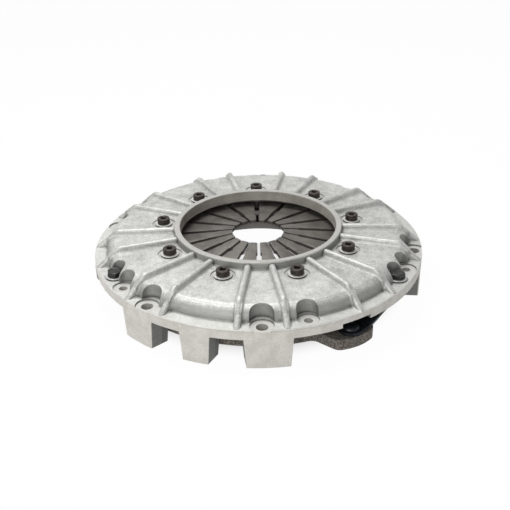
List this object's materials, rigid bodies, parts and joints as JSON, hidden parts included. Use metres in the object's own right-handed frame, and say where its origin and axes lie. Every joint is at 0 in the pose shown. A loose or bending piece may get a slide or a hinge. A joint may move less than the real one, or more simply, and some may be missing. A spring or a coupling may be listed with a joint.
{
  "type": "clutch pressure plate",
  "caption": "Round clutch pressure plate: ribbed cast cover with feet, diaphragm spring with slotted fingers, and a sprung friction plate on leaf straps.",
  "frame": {"origin": "on the clutch axis, in the plane of the undersides of the cover's feet, where the cover stands on the flywheel. The lugs reach 3.5 mm past the rim, so the box's middle is 1.75 mm off the axis", "axes": "+Z along the clutch axis, away from the flywheel and towards the release bearing. +X and +Y lie in the flywheel's face: the three feet sectors are centred 10, 130 and 250 degrees from +X towards +Y"},
  "size_m": [0.3395, 0.336, 0.06],
  "materials": {
    "cast_aluminium": "satin cast skin, rim turned",
    "spring_steel": "brown heat-treated, satin",
    "wire_steel": "drawn",
    "turned_steel": "turned",
    "black_oxide": "black oxide, lightly oiled",
    "zinc_steel": "zinc plated",
    "cast_iron": "turned over a cast skin",
    "blued_steel": "blued"
  },
  "bodies": {
    "cover": {"cover": "cast_aluminium", "diaphragm_spring": "spring_steel", "upper_fulcrum_ring": "wire_steel", "lower_fulcrum_ring": "wire_steel", "support_ring": "turned_steel", "cap_screws": "black_oxide", "screw_washers": "zinc_steel", "spacer_nuts": "black_oxide", "strap_bolt_1": "black_oxide", "bolt_washer_1": "zinc_steel", "spring_washer_1": "black_oxide", "strap_nut_1": "zinc_steel", "strap_bolt_2": "black_oxide", "bolt_washer_2": "zinc_steel", "spring_washer_2": "black_oxide", "strap_nut_2": "zinc_steel", "strap_bolt_3": "black_oxide", "bolt_washer_3": "zinc_steel", "spring_washer_3": "black_oxide", "strap_nut_3": "zinc_steel", "strap_1_leaf_1": "blued_steel", "strap_1_leaf_2": "blued_steel", "strap_1_leaf_3": "blued_steel", "strap_2_leaf_1": "blued_steel", "strap_2_leaf_2": "blued_steel", "strap_2_leaf_3": "blued_steel", "strap_3_leaf_1": "blued_steel", "strap_3_leaf_2": "blued_steel", "strap_3_leaf_3": "blued_steel"},
    "pressure_plate": {"pressure_plate": "cast_iron", "strap_rivet_1": "blued_steel", "strap_rivet_2": "blued_steel", "strap_rivet_3": "blued_steel"}
  },
  "joints": [
    {"name": "plate_lift", "type": "slide", "parent": "cover", "child": "pressure_plate", "axis": [0, 0, 1], "range_m": [0, 0.005], "stiffness_N_per_m": 20000, "springref_m": -0.004, "deforming": ["diaphragm_spring", "strap_1_leaf_1", "strap_1_leaf_2", "strap_1_leaf_3", "strap_2_leaf_1", "strap_2_leaf_2", "strap_2_leaf_3", "strap_3_leaf_1", "strap_3_leaf_2", "strap_3_leaf_3"]}
  ]
}
